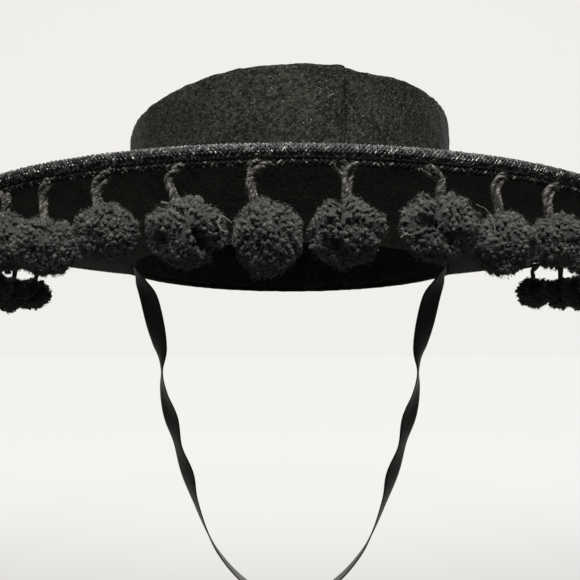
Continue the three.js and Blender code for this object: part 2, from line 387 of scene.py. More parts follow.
def mix(nodes, links, kind, factor, first, second):
    """Colour mix; the factor and both colours may be constants or sockets."""
    made = nodes.new("ShaderNodeMix")
    made.data_type = "RGBA"
    made.blend_type = kind
    if isinstance(factor, float):
        made.inputs["Factor"].default_value = factor
    else:
        links.new(factor, made.inputs["Factor"])
    for socket, value in ((made.inputs[6], first), (made.inputs[7], second)):
        if isinstance(value, tuple):
            socket.default_value = (*value, 1)
        else:
            links.new(value, socket)
    return made.outputs[2]


def bump(nodes, links, shader, height, distance, strength=1.0, normal=None):
    """Relief on the shader, on top of the relief that is handed in."""
    made = node(nodes, "ShaderNodeBump", in_Distance=distance, in_Strength=strength)
    links.new(height, made.inputs["Height"])
    if normal is not None:
        links.new(normal, made.inputs["Normal"])
    links.new(made.outputs["Normal"], shader.inputs["Normal"])
    return made.outputs["Normal"]


def felt_material():
    """Pressed black wool felt: slanting pebbled grain, soft patches and pale flecks, with painted
    shade where the tint is low, in the seam's groove and the creases.
    """
    material, nodes, links, shader = new_material("felt", 1.0)
    shader.inputs["Specular IOR Level"].default_value = 0.03
    slanted = mapped(nodes, links, (0.0, math.radians(-32), 0.0), (1.35, 1.0, 0.9))
    plain = mapped(nodes, links)
    grain = noise(nodes, links, slanted, 1.6 * MM, 4.0, 0.72)
    fine = noise(nodes, links, plain, 0.7 * MM, 2.0, 0.6)
    patches = noise(nodes, links, plain, 18 * MM, 2.0, 0.5)
    colour = ramp(nodes, links, grain, [(0.42, FELT_DARK), (0.60, FELT_LIGHT)])
    shade = ramp(nodes, links, patches, [(0.35, (0.68, 0.68, 0.68)), (0.65, (1.12, 1.12, 1.12))])
    colour = mix(nodes, links, "MULTIPLY", 1.0, colour, shade)
    tint = node(nodes, "ShaderNodeAttribute", attribute_name="tint")
    # Painted shade: a low tint darkens the felt, down to a quarter, in the seam's groove and the
    # creases.
    shade = ramp(nodes, links, tint.outputs["Fac"], [(0.1, (0.25, 0.25, 0.25)), (0.5, (1, 1, 1))])
    colour = mix(nodes, links, "MULTIPLY", 1.0, colour, shade)
    speck = noise(nodes, links, plain, 0.9 * MM, 1.0, 0.4)
    fleck = ramp(nodes, links, speck, [(0.65, (0, 0, 0)), (0.73, (1, 1, 1))])
    colour = mix(nodes, links, "MIX", fleck, colour, FELT_FLECK)
    links.new(colour, shader.inputs["Base Color"])
    rough = bump(nodes, links, shader, grain, 1.8 * MM, 1.0)
    bump(nodes, links, shader, fine, 0.5 * MM, 0.7, rough)
    return material


def thread_material(name, dark, light, size, roughness=0.85, sheen=0.03, gloss=0.12,
                    paired=False):
    """Yarn or cord: tinted thread by thread, with fibres; paired strands show two threads, with
    painted shade in the groove between them.
    """
    material, nodes, links, shader = new_material(name, roughness, sheen)
    shader.inputs["Specular IOR Level"].default_value = gloss
    plain = mapped(nodes, links)
    tint = node(nodes, "ShaderNodeAttribute", attribute_name="tint")
    colour = ramp(nodes, links, tint.outputs["Fac"], [(0.0, dark), (1.0, light)])
    fibres = noise(nodes, links, plain, size, 3.0, 0.65)
    shade = ramp(nodes, links, fibres, [(0.3, (0.55, 0.55, 0.55)), (0.7, (1.35, 1.35, 1.35))])
    colour = mix(nodes, links, "MULTIPLY", 1.0, colour, shade)
    if paired:
        across = node(nodes, "ShaderNodeAttribute", attribute_name="across")
        turn = node(nodes, "ShaderNodeMath", operation="MULTIPLY")
        turn.inputs[1].default_value = 2 * TURN
        wave = node(nodes, "ShaderNodeMath", operation="COSINE")
        links.new(across.outputs["Fac"], turn.inputs[0])
        links.new(turn.outputs[0], wave.inputs[0])
        groove = node(nodes, "ShaderNodeMapRange", in_From_Min=0.6, in_From_Max=-0.4)
        links.new(wave.outputs[0], groove.inputs["Value"])
        # Painted shade: the groove between the two threads of a strand is darkened to a twentieth.
        shade = ramp(nodes, links, groove.outputs["Result"],
                     [(0, (0.05, 0.05, 0.05)), (1, (1, 1, 1))])
        colour = mix(nodes, links, "MULTIPLY", 1.0, colour, shade)
        threads = bump(nodes, links, shader, groove.outputs["Result"], 0.25 * MM, 0.9)
        bump(nodes, links, shader, fibres, 0.25 * MM, 0.8, threads)
    else:
        bump(nodes, links, shader, fibres, 0.25 * MM, 0.8)
    links.new(colour, shader.inputs["Base Color"])
    return material


def ribbon_material():
    """Black ribbon with fine ribs across it and a dull shine."""
    material, nodes, links, shader = new_material("ribbon", 0.6, 0.1)
    shader.inputs["Specular IOR Level"].default_value = 0.1
    tint = node(nodes, "ShaderNodeAttribute", attribute_name="tint")
    plain = mapped(nodes, links)
    fibres = noise(nodes, links, plain, 0.7 * MM, 3.0, 0.6)
    colour = ramp(nodes, links, fibres, [(0.3, RIBBON_DARK), (0.7, RIBBON_LIGHT)])
    links.new(colour, shader.inputs["Base Color"])
    ribs = node(nodes, "ShaderNodeMath", operation="SINE")
    scale = node(nodes, "ShaderNodeMath", operation="MULTIPLY")
    scale.inputs[1].default_value = TURN * RIBBON_RIBS
    links.new(tint.outputs["Fac"], scale.inputs[0])
    links.new(scale.outputs[0], ribs.inputs[0])
    bump(nodes, links, shader, ribs.outputs[0], 0.06 * MM, 0.7)
    return material


# The felt pieces

CROWN_STEPS = 420           # round the crown
CROWN_RINGS = 44            # up its outside
INNER_RINGS = 14            # down its inside
BRIM_STEPS = 400            # round the brim
BRIM_RINGS = 27             # from the head opening to the rope
PEBBLE = 0.11 * MM
SEAM_DRIFT = 0.004          # how far the seam wavers, as a turn
SEAM_DEEP = 0.6 * MM
SEAM_HALF = 0.004           # half width of its groove, as a turn

# Creases beside the seam: turn from the seam, then height, width, tallness and depth in mm
CREASES = ((0.004, 63, 1.6, 4.5, 0.5), (-0.03, 50.5, 3.4, 1.8, 0.5), (0.012, 54, 2.0, 3.0, 0.3))

# Rings of the crown's top, as shares of the way out
TOP_SHARES = (0.08, 0.16, 0.25, 0.34, 0.43, 0.52, 0.6, 0.68, 0.75, 0.81, 0.86, 0.9,
              0.93, 0.955, 0.975, 0.99)

# Its cut edge, from above to below: share of the way out, share of the felt's thickness down
TOP_EDGE = ((0.997, 0.05), (1.0, 0.15), (1.0, 0.5), (0.998, 0.8))

# Brim section: share of the way out, share of the rise to the rope
BRIM_SECTION = ((0, 0), (0.05, 0), (0.3, 0.4), (0.55, 0.71), (0.8, 0.92), (1, 1))


def crown_turns():
    """Turns round the crown, closer together at the edge of the lap."""
    even = np.linspace(0, TURN, CROWN_STEPS, endpoint=False)
    edge = SEAM_TURN + np.linspace(-0.014, 0.016, 16)
    return np.unique(np.concatenate([even, edge]))


def lap(turn):
    """How far the lap of the crown strip stands out."""
    lap_turn = LAP_WIDTH / CROWN_Y
    rise = np.clip((turn - (SEAM_TURN - lap_turn)) / (lap_turn * 0.8), 0, 1)
    return np.where(turn <= SEAM_TURN, LAP_PROUD * rise * rise * (3 - 2 * rise), 0)


def sag(turn):
    """Soft hollows and bulges round the crown."""
    return 0.35 * MM * waves(around(CROWN_X, CROWN_Y, turn, 0 * turn), 60 * MM, 3)


def ragged(turn):
    """Uneven height of the crown's cut edge, with a fold of felt before the lap."""
    rim = around(CROWN_X, CROWN_Y, turn, 0 * turn)
    fold = 0.7 * MM * np.exp(-((turn - SEAM_TURN + 0.03) / 0.022) ** 2)
    return 0.16 * MM * waves(rim, 9 * MM, 5) + 0.1 * MM * waves(rim, 4 * MM, 6) + fold


def pebbles(points, seed):
    """Relief of the pressed felt."""
    return PEBBLE * (waves(points, 6 * MM, seed) + 0.7 * waves(points, 3.2 * MM, seed + 1))


def seam_relief(turn, drift, outer):
    """Groove along the edge of the lap, deeper here and there, and the creases beside it. The
    crown strip's tint also follows it, as painted shade.
    """
    worn = 0.5 + 0.4 * waves(outer * [0.3, 0.3, 1], 14 * MM, 13)
    beside = (turn + drift - SEAM_TURN - SEAM_HALF) / SEAM_HALF
    relief = -SEAM_DEEP * np.exp(-beside ** 2) * worn
    for off, level, wide, tall, deep in CREASES:
        beside = (turn - SEAM_TURN - off) * CROWN_Y / (wide * MM)
        above = (outer[..., 2] / MM - level) / tall
        relief = relief - deep * MM * np.exp(-beside ** 2 - above ** 2)
    return relief


def crown_side():
    """Felt strip, from the outside over its cut edge to the inside."""
    turn = crown_turns()[:, None]
    foot = BRIM_FELT + GAP / 2
    top = edge_height(turn) - 0.2 * FELT + ragged(turn)
    rise = np.linspace(0, 1, CROWN_RINGS)[None, :]
    height = foot + (top - foot) * rise
    drift = waves(around(0, 0, 0, height), 17 * MM, 17) * np.clip(4 - 4 * rise, 0, 1)
    drift = SEAM_DRIFT * drift
    proud = lap(turn + drift) + sag(turn)
    outer = around(CROWN_X + proud, CROWN_Y + proud, turn, height)
    proud = proud[:, -1:]
    flat = np.linspace(0, 1, 5)[None, :]
    over_x = CROWN_X + proud + (HEAD_X - CROWN_X - proud) * flat
    over_y = CROWN_Y + proud + (HEAD_Y - CROWN_Y - proud) * flat
    brow = around(over_x, over_y, turn, top + 0.25 * MM * np.sin(math.pi * flat))
    fall = np.linspace(0, 1, INNER_RINGS)[None, :]
    inner = around(HEAD_X, HEAD_Y, turn, top + (foot - top) * fall)
    base = around(HEAD_X + FELT * 0.5, HEAD_Y + FELT * 0.5, turn, foot)
    rings = np.concatenate([outer, brow[:, 1:-1], inner, base], 1)[:, ::-1]
    outward = around(np.ones_like(turn), np.ones_like(turn), turn, 0 * turn)
    relief = np.zeros(rings.shape[:2])
    relief[:, -outer.shape[1]:] = seam_relief(turn, drift, outer)[:, ::-1]
    rings = rings + outward * (pebbles(rings, 11) + relief)[..., None]
    pieces = Pieces()
    # The tint falls with the relief, so the seam's groove and the creases are painted darker:
    # painted shade.
    pieces.skin(rings, True, 0.5 + relief / (1.5 * MM))
    return pieces


def crown_top():
    """Felt disc whose edge is sewn to the top of the strip, with soft hollows."""
    turn = crown_turns()[:, None]
    shares = np.array(TOP_SHARES)[None, :]
    rim = edge_height(turn) + ragged(turn)
    edge = around(CROWN_X, CROWN_Y, turn, 0 * turn)
    plane = top_plane(edge[..., 0] * shares, edge[..., 1] * shares)
    near_edge = np.clip((shares - 0.9) / 0.1, 0, 1)
    dip = (rim - top_plane(edge[..., 0], edge[..., 1])) * near_edge ** 2
    sink = FELT * np.clip((1 - shares) / 0.7, 0, 1)
    proud = lap(turn) + sag(turn) - 0.35 * MM
    top = around((CROWN_X + proud) * shares, (CROWN_Y + proud) * shares, turn,
                 plane + dip - sink)
    hollows = waves(top, 55 * MM, 21) * 0.8 * MM * np.clip(1 - shares, 0, 0.3) / 0.3
    top[..., 2] += hollows
    out, down = np.array(TOP_EDGE).T[:, None, :]
    side = around((CROWN_X + proud) * out, (CROWN_Y + proud) * out, turn, rim - FELT * down)
    under = top[:, ::-1].copy()
    under[..., 2] -= FELT
    under = under[:, 1:]
    rings = np.concatenate([top, side, under], 1)
    rings[..., 2] += pebbles(rings, 22) * 0.7
    rings = rings.transpose(1, 0, 2)[::-1]
    pieces = Pieces()
    pieces.skin(rings)
    return pieces


def top_plane(x, y):
    """Height of the crown's flat top at a place, from the plane through its upper edge."""
    return TOP_PLANE[0] + TOP_PLANE[1] * x + TOP_PLANE[2] * y


def fit_plane():
    """Plane through the upper edge of the crown, without the stretch beside the seam."""
    turns = EDGE_TURNS[(EDGE_TURNS < math.radians(12)) | (EDGE_TURNS > math.radians(38))]
    edge = around(CROWN_X, CROWN_Y, turns, edge_height(turns))
    flat = np.stack([np.ones(len(edge)), edge[:, 0], edge[:, 1]], 1)
    return np.linalg.lstsq(flat, edge[:, 2], rcond=None)[0]


TOP_PLANE = fit_plane()


def brim():
    """Felt ring that rises to the rope, with pebbled sides."""
    turn = np.linspace(0, TURN, BRIM_STEPS, endpoint=False)[:, None]
    out = np.linspace(0, 1, BRIM_RINGS)[None, :]
    table = np.array(BRIM_SECTION)
    rise = np.interp(out, table[:, 0], table[:, 1])
    soft = np.convolve(np.pad(rise[0], 2, mode="edge"), np.ones(5) / 5, mode="valid")
    rise = np.where((out > 0.08) & (out < 0.95), soft[None], rise)
    reach = RIM_X - ROPE - GAP * 0.5 - HEAD_X
    level = (rope_height(turn) - BRIM_FELT / 2) * rise
    under = around(HEAD_X + reach * out, HEAD_Y + reach * out, turn, level)
    bend = waves(under, 70 * MM, 31) * 0.5 * MM * out ** 2 * (1 - out) * 4
    under[..., 2] += bend
    over = under.copy()
    over[..., 2] += BRIM_FELT
    over[..., 2] += pebbles(under, 33) * 0.7
    under[..., 2] += pebbles(under, 35) * 0.7
    rings = np.concatenate([over, under[:, ::-1]], 1)
    pieces = Pieces()
    pieces.skin(rings, True)
    return pieces


# The rope and the tape

ROPE_STRAND = 0.46 * MM     # half thickness of a strand
ROPE_STEPS = 1400
CORE_STEPS = 300
CORE_IN = 0.75 * MM         # core below the rope's surface, painted black as the shade in the gaps between strands
TAPE_STRAND = 0.36 * MM
TAPE_STRANDS = 3            # in each direction
TAPE_LAY = 5.2 * MM
TAPE_STEPS = 1000
TAPE_IN = 0.5 * MM          # how far it lies inside the rope's middle


def braid(half_x, half_y, height, radius, strand, count, lay, steps, seed, arc=(0, TURN),
          share=0.3, base_tint=0.6, painted_light_top_share=1.0):
    """Strands that run round the rope both ways and pass over and under each other.

    A share of their steps is flecked. The rest has up to the base tint, and all of it is
    dimmed to the top share on the upper side and left full on the lower side: painted shade on top
    and painted light below, so the strands get lighter towards the bottom.
    """
    draw = np.random.default_rng(seed)
    loop = arc == (0, TURN)
    turn = np.linspace(*arc, steps, endpoint=not loop)
    around_rope = np.linspace(0, 1, steps, endpoint=not loop)
    fine = np.linspace(arc[0], arc[1], 4001)
    path = around(half_x, half_y, fine, 0)
    length = np.linalg.norm(np.diff(path, axis=0), axis=1).sum()
    turns = round(length / lay)
    pieces = Pieces()
    out = unit(around(1 / half_x, 1 / half_y, turn, 0 * turn))
    up = np.array([0, 0, 1.0])
    middle = around(half_x, half_y, turn, height(turn))
    for way in (1, -1):
        for number in range(count):
            phase = number / count * TURN + (0 if way == 1 else math.pi / count)
            angle = way * (turns * TURN * around_rope) + phase
            weave = way * np.cos(count * (turns * TURN * around_rope + way * phase))
            far = radius - strand * (0.95 - 0.4 * weave) + draw.normal(0, 0.06, steps) * strand
            angle = angle + draw.normal(0, 0.03, steps)
            side = np.cos(angle)[:, None] * out + np.sin(angle)[:, None] * up
            thick = strand * (1 + draw.normal(0, 0.1, steps))
            rings = sweep(middle + far[:, None] * side, side, thick, 4, loop)
            flecks = draw.random(steps) < share
            tint = np.where(flecks, draw.uniform(0.4, 1, steps), draw.uniform(0, base_tint, steps))
            # Painted light: the tint rises from the top share on the upper side to full on the
            # lower side, lightening the strands towards the bottom.
            tint = tint * (painted_light_top_share + (1 - painted_light_top_share) * np.clip(0.3 - np.sin(angle), 0, 1))
            pieces.skin(rings, loop, tint[:, None], np.array([0.5, 0, 0.5, 1]))
    return pieces


def rope():
    """Braided rope on a core whose black is painted shade in the gaps between the strands."""
    # Its strands are painted about three times lighter below than on top, as painted light on the
    # rope's lower side.
    pieces = braid(ROPE_X, ROPE_Y, rope_height, ROPE / 2, ROPE_STRAND, ROPE_STRANDS, ROPE_LAY,
                   ROPE_STEPS, 41, share=0.24, base_tint=0.07, painted_light_top_share=0.3)
    turn = np.linspace(0, TURN, CORE_STEPS, endpoint=False)
    middle = around(ROPE_X, ROPE_Y, turn, rope_height(turn))
    out = unit(around(1 / ROPE_X, 1 / ROPE_Y, turn, 0 * turn))
    # The core's tint 0 is painted shade: black shows in the gaps between the strands.
    pieces.skin(sweep(middle, out, ROPE / 2 - CORE_IN, 8, True), True, 0.0)
    return pieces


def tape_height(turn):
    """Height of the tape's middle, just under the rope."""
    return rope_height(turn) - ROPE / 2 - GAP * 1.6 - TAPE_HEIGHT / 2


def tape():
    """Narrow twisted tape, as long as its CAD node."""
    points = cad_points("fringe_tape")
    turns = np.arctan2(points[:, 0] / ROPE_X, -points[:, 1] / ROPE_Y)
    return braid(ROPE_X - TAPE_IN, ROPE_Y - TAPE_IN, tape_height, TAPE_HEIGHT / 2, TAPE_STRAND,
                 TAPE_STRANDS, TAPE_LAY, TAPE_STEPS, 51, (turns.min(), turns.max()),
                 share=0.14, base_tint=0.05)


# Pompoms

# Wide and tall are shares of POMPOM. From, bow and into are where the yarn leaves the tape,
# bows and enters the ball, as shares of the pitch; spread parts its plies at the tape, in mm.
# A cleft is a groove, painted darker inside as painted shade: turn and lean of its plane in
# degrees, then offset, width and depth as shares of the radius, then how low and how high it
# reaches. A pit is a hollow on the side that faces out, also painted darker as painted shade:
# its place across and up, width and depth, as shares of the radius.
BALLS = (
    {"wide": 0.97, "tall": 1.08, "from": -0.04, "bow": -0.21, "into": -0.16, "spread": 1.6,
     "clefts": ((60, 0, 0.1, 0.14, 0.12, 0.2, 1.2), (12, -30, -0.5, 0.1, 0.14, -0.6, 0.5)),
     "pits": ((-0.25, -0.42, 0.28, 0.16), (0.35, -0.1, 0.16, 0.1))},
    {"wide": 1.08, "tall": 1.0, "from": 0.02, "bow": 0, "into": 0, "spread": 3.0,
     "clefts": ((0, 8, -0.05, 0.14, 0.36, 0.25, 1.2), (70, 62, -0.28, 0.1, 0.2, -0.8, 0.4)),
     "pits": ((-0.5, -0.5, 0.34, 0.3), (-0.15, 0.02, 0.15, 0.14), (0.5, -0.6, 0.24, 0.16))},
    {"wide": 1.12, "tall": 1.02, "from": -0.17, "bow": 0.05, "into": 0.02, "spread": 1.6,
     "clefts": ((-12, -10, -0.36, 0.12, 0.34, -0.3, 1.2), (0, 0, 0.02, 0.1, 0.12, 0.4, 1.2)),
     "pits": ((-0.64, -0.12, 0.27, 0.5), (-0.2, -0.45, 0.2, 0.24), (0.12, -0.52, 0.18, 0.2))},
    {"wide": 1.0, "tall": 0.93, "from": 0.02, "bow": -0.1, "into": -0.05, "spread": 0.6,
     "clefts": ((30, 0, 0.3, 0.14, 0.2, 0.0, 1.2),),
     "pits": ((0.3, -0.3, 0.22, 0.2),)},
    {"wide": 0.94, "tall": 0.9, "from": 0.05, "bow": -0.14, "into": -0.12, "spread": 1.8,
     "clefts": ((5, 6, -0.02, 0.13, 0.36, 0.2, 1.2), (0, 0, -0.5, 0.1, 0.12, 0.0, 1.2)),
     "pits": ((0.05, -0.2, 0.18, 0.14), (-0.45, -0.1, 0.16, 0.12))},
    {"wide": 1.14, "tall": 0.98, "from": -0.07, "bow": -0.23, "into": -0.14, "spread": 0.5,
     "clefts": ((0, 0, -0.40, 0.10, 0.24, 0.3, 1.2), (0, 24, 0.46, 0.11, 0.6, -0.75, 0.5)),
     "pits": ((-0.52, -0.34, 0.27, 0.34), (0.1, -0.15, 0.14, 0.14), (0.64, -0.5, 0.24, 0.24))},
)
FIRST_ROW = 5               # row of pompom_01 in the table above
BALL_SEED = 500
GOLDEN = math.pi * (3 - math.sqrt(5))
CORE_SINK = 1.2 * MM        # plain core below the tips of the yarn ends
END_COUNT = 430
END_LONG = 2.6 * MM
FUZZ = (
    {"count": 2600, "lean": 0.8, "longer": 0.0, "half": 0.1 * MM},
    {"count": 300, "lean": 1.3, "longer": 0.6, "half": 0.06 * MM},
)

# The yarn that a pompom hangs on
TIE_STEPS = 34
TIE_CORE = 0.6 * MM
PLY_LAY = 15 * MM           # length of one turn of the plies
PLY_OFF = 0.74 * MM
WIDE_SPREAD = 1.5           # a yarn that parts further than this has more plies
STRAND_LAY = 2.7 * MM
STRAND_OFF = 0.38 * MM
STRAND_HALF = 0.39 * MM
TIE_FIBRES = 300

BALL_COUNT = sum(1 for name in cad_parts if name.startswith("pompom_"))


def ball_shape(ways, row, seed):
    """Distance from the middle of a pompom to its surface each way, and a brightness factor there:
    painted shade in its clefts and pits, and patches of random tone.
    """
    half = POMPOM / 2
    wide, tall = half * row["wide"], half * row["tall"]
    shape = 1 / np.sqrt((ways[:, 0] ** 2 + ways[:, 1] ** 2) / wide ** 2
                        + ways[:, 2] ** 2 / tall ** 2)
    shade_and_tone = np.ones(len(ways))
    for turn, lean, offset, width, depth, low, high in row["clefts"]:
        turn, lean = math.radians(turn), math.radians(lean)
        normal = np.array([math.cos(turn) * math.cos(lean), math.sin(turn) * math.cos(lean),
                           math.sin(lean)])
        off = (ways @ normal - offset) / width
        reach = np.clip((ways[:, 2] - low) / 0.3, 0, 1) * np.clip((high - ways[:, 2]) / 0.3, 0, 1)
        groove = np.exp(-off * off) * reach
        shape = shape * (1 - depth * groove)
        # Painted shade: the cleft is darkened.
        shade_and_tone = shade_and_tone * (1 - 0.85 * groove)
    for across, up, width, depth in row["pits"]:
        middle = np.array([across, -math.sqrt(1 - across ** 2 - up ** 2), up])
        pit = np.exp(-((ways - middle) ** 2).sum(1) / width ** 2)
        shape = shape * (1 - depth * pit)
        # Painted shade: the pit is darkened.
        shade_and_tone = shade_and_tone * (1 - 0.9 * pit)
    patches = waves(ways * half, 5 * MM, seed + 2)
    shade_and_tone = shade_and_tone * (1 + 0.3 * patches)
    lumps = 0.055 * waves(ways * half, 8 * MM, seed)
    lumps += 0.05 * waves(ways * half, 3.8 * MM, seed + 1)
    return shape * (1 + lumps) - 0.5 * MM, shade_and_tone


def even_ways(count, draw, jitter):
    """Directions spread evenly over a ball, each a little off its place."""
    i = np.arange(count) + 0.5
    down = 1 - 2 * i / count
    turn = i * GOLDEN
    flat = np.sqrt(1 - down ** 2)
    ways = np.stack([flat * np.cos(turn), flat * np.sin(turn), down], 1)
    return unit(ways + draw.normal(0, jitter, ways.shape))


def yarn_ends(pieces, ways, shape, shade_and_tone, draw):
    """Blunt yarn ends that stand out of the ball: four-sided stubs with a raised middle, their
    roots painted darker as shade deep in the ball.
    """
    lean = unit(ways + draw.normal(0, 0.22, ways.shape))
    side = unit(np.cross(lean, draw.normal(size=ways.shape)))
    other = np.cross(lean, side)
    thick = draw.uniform(0.45, 0.85, len(ways)) * MM
    tip = ways * (shape - draw.uniform(0.1, 0.55, len(ways)) * MM)[:, None]
    root = tip - lean * END_LONG
    angle = np.arange(4) / 4 * TURN
    ring = (np.cos(angle)[None, :, None] * side[:, None]
            + np.sin(angle)[None, :, None] * other[:, None])
    low = root[:, None] + ring * (thick * 0.8)[:, None, None]
    high = (tip - lean * 0.3 * MM)[:, None] + ring * thick[:, None, None]
    high = high + draw.normal(0, 0.15 * MM, high.shape)
    points = np.concatenate([low, high, tip[:, None]], 1)
    j = np.arange(4)
    k = (j + 1) % 4
    base = np.arange(len(ways))[:, None, None] * 9
    quads = base + np.concatenate([np.stack([j, k, 4 + k, 4 + j], 1), [[0, 3, 2, 1]]])[None]
    caps = base + np.stack([4 + j, 4 + k, np.full(4, 8)], 1)[None]
    tint = np.repeat(draw.uniform(0.25, 0.5, len(ways)) * shade_and_tone, 9).reshape(-1, 9)
    # Painted shade: the root ring of each end is a third darker.
    tint[:, :4] *= 0.65
    pieces.add(points.reshape(-1, 3), quads.reshape(-1, 4), caps.reshape(-1, 3), tint)


def fuzz(pieces, row, seed, draw):
    """Short fine fibres all over the ball, and a few longer loose ones."""
    for kind in FUZZ:
        count, longer = kind["count"], kind["longer"]
        ways = even_ways(count, draw, 0.06)
        shape, shade_and_tone = ball_shape(ways, row, seed)
        lean = unit(ways + draw.normal(0, kind["lean"], ways.shape))
        roots = ways * (shape - draw.uniform(0.1, 0.7, count) * MM)[:, None]
        lengths = draw.uniform(0.45 + longer, 0.95 + longer, count) * MM
        spikes(pieces, roots, lean, lengths, kind["half"], draw,
               draw.uniform(0.25, 1.2, count) * shade_and_tone)


def ball_core(pieces, row, seed):
    """Plain ball that fills the gaps between the yarn ends, painted darker than them as the shade
    in those gaps.
    """
    down = np.linspace(0.08, math.pi - 0.08, 12)[:, None]
    turn = np.linspace(0, TURN, 20, endpoint=False)[None, :]
    ways = np.stack(np.broadcast_arrays(
        np.sin(down) * np.cos(turn), np.sin(down) * np.sin(turn), np.cos(down)), -1)
    shape = ball_shape(ways.reshape(-1, 3), row, seed)[0] - CORE_SINK
    # Its low tint is painted shade between the yarn ends.
    pieces.skin((ways * shape.reshape(ways.shape[:2])[..., None])[::-1], tint=0.2)


def pompom(index):
    """Name of the CAD node, the yarn ball and the yarn that it hangs on."""
    name = f"pompom_{index + 1:02d}"
    row = BALLS[(index + FIRST_ROW) % len(BALLS)]
    seed = BALL_SEED + index
    draw = np.random.default_rng(100 + index)
    heading, centre = ball_place(name, row)
    ball = Pieces()
    ball_core(ball, row, seed)
    ways = even_ways(END_COUNT, draw, 0.04)
    shape, shade_and_tone = ball_shape(ways, row, seed)
    yarn_ends(ball, ways, shape, shade_and_tone, draw)
    fuzz(ball, row, seed, draw)
    yarn = tie(cad_points(name)[:, 2].max() - centre[2] + 2 * GAP, row, draw)
    for pieces in (ball, yarn):
        pieces.move(turning(heading), centre)
    return name, ball, yarn


def ball_place(name, row):
    """Heading and middle of a pompom, from the lowest place of its CAD node."""
    points = cad_points(name)
    low = points[:, 2].min()
    bottom = points[points[:, 2] < low + 0.01 * MM].mean(0)
    turn = math.atan2(bottom[0] / ROPE_X, -bottom[1] / ROPE_Y)
    tall = POMPOM / 2 * row["tall"]
    return heading_at(turn), bottom + np.array([0, 0, tall])


def tie_path(top, row):
    """Middle of the yarn, from the tape at that height down into the pompom."""
    tall = POMPOM / 2 * row["tall"]
    start, bow, into = (row[key] * PITCH for key in ("from", "bow", "into"))
    elbow = top - 1.2 * MM
    places = np.array([[start, 0, top + 0.5 * MM], [start * 0.35 + bow * 0.65, 0, elbow],
                       [bow, 0, elbow * 0.6 + tall * 0.4], [into, 0, tall * 0.9],
                       [into * 0.6, 0, tall * 0.5]])
    return curve(places, TIE_STEPS)


def tie(top, row, draw):
    """Plies of three strands twisted together, parted at the tape, with loose fibres."""
    path = tie_path(top, row)
    pieces = Pieces()
    share = np.linspace(0, 1, len(path))
    length = np.linalg.norm(np.diff(path, axis=0), axis=1).sum()
    along = unit(np.gradient(path, axis=0))
    side = np.broadcast_to([0, 1.0, 0], path.shape)
    other = np.cross(along, side)
    twist = share * length / PLY_LAY * TURN + draw.uniform(0, TURN)
    inner = share * length / STRAND_LAY * TURN
    spread = np.clip(1.35 - share * 2, 0, 1)[:, None] * [row["spread"] * MM, 0, 0]
    pieces.skin(sweep(path, side, TIE_CORE, 5)[:, ::-1], tint=0.05)
    plies = 5 if row["spread"] > WIDE_SPREAD else 3
    for ply in range(plies):
        angle = (twist + ply * TURN / plies)[:, None]
        off = np.cos(angle) * side + np.sin(angle) * other
        middle = path + off * PLY_OFF + (2 * ply / (plies - 1) - 1) * spread
        for strand in range(3):
            angle = (inner + strand * TURN / 3)[:, None]
            offset = np.cos(angle) * off + np.sin(angle) * np.cross(along, off)
            line = middle + offset * STRAND_OFF + draw.normal(0, 0.03 * MM, path.shape)
            pale = np.clip(draw.normal(0.12, 0.5, len(path)), 0, 1.2)
            pieces.skin(sweep(line, offset, STRAND_HALF, 4)[:, ::-1], tint=pale[:, None])
    pick = draw.integers(0, len(path), TIE_FIBRES)
    angle = draw.uniform(0, TURN, TIE_FIBRES)[:, None]
    way = unit(np.cos(angle) * side[pick] + np.sin(angle) * other[pick]
               + draw.normal(0, 0.5, (TIE_FIBRES, 3)))
    roots = path[pick] + way * 1.1 * MM + draw.uniform(-1, 1, (TIE_FIBRES, 1)) * spread[pick]
    spikes(pieces, roots, way, draw.uniform(0.3, 1.1, TIE_FIBRES) * MM, 0.06 * MM, draw,
           draw.uniform(0.1, 0.8, TIE_FIBRES))
    return pieces


def curve(points, steps):
    """A smooth curve through points, with that many places on it."""
    padded = np.concatenate([[2 * points[0] - points[1]], points, [2 * points[-1] - points[-2]]])
    t = np.linspace(0, len(points) - 1 - 1e-9, steps)
    i = t.astype(int)
    s = (t - i)[:, None]
    a, b, c, d = (padded[i + k] for k in range(4))
    return 0.5 * (2 * b + (c - a) * s + (2 * a - 5 * b + 4 * c - d) * s ** 2
                  + (3 * b - a - 3 * c + d) * s ** 3)


# The chin strap

# One side: share of the half width at the crown, of STRAP_FORWARD, of STRAP_DROP, and the face
STRAP = (
    (0.96, 0.01, 0.03, 48), (0.915, 0.05, 0.07, 14), (0.885, 0.1, 0.13, 6),
    (0.862, 0.17, 0.2, 34), (0.86, 0.24, 0.26, 76), (0.853, 0.31, 0.325, 60),
    (0.818, 0.39, 0.4, 30), (0.785, 0.47, 0.48, 55), (0.732, 0.56, 0.565, 35),
    (0.688, 0.66, 0.65, 60), (0.55, 0.82, 0.81, 80), (0.3, 0.95, 0.94, 90),
)
STRAP_STEPS = 520
RIBBON_CUP = 0.45 * MM      # how far the ribbon curls across
CUP_TURNS = 41              # how often the curl changes side, as an angle along the loop


def strap_table():
    """Places along the loop, from end to end, with the angle that the ribbon faces."""
    seat = math.asin(STRAP_BACK / HEAD_Y)
    anchor = HEAD_X * math.cos(seat) - 0.5 * MM - 2 * GAP
    wall = 90 - math.degrees(math.atan(math.tan(seat) * HEAD_X / HEAD_Y))
    rows = [(anchor, -STRAP_BACK, STRAP_SEAT, wall), (anchor, -STRAP_BACK, BRIM_FELT, wall)]
    rows += [(anchor * across, STRAP_FORWARD * ahead - STRAP_BACK, -STRAP_DROP * down, face)
             for across, ahead, down, face in STRAP]
    left = [(-x, y, z, 180 - face) for x, y, z, face in rows]
    chin = (0, STRAP_FORWARD - STRAP_BACK, -STRAP_DROP, 90)
    return np.array([*left, chin, *reversed(rows)])


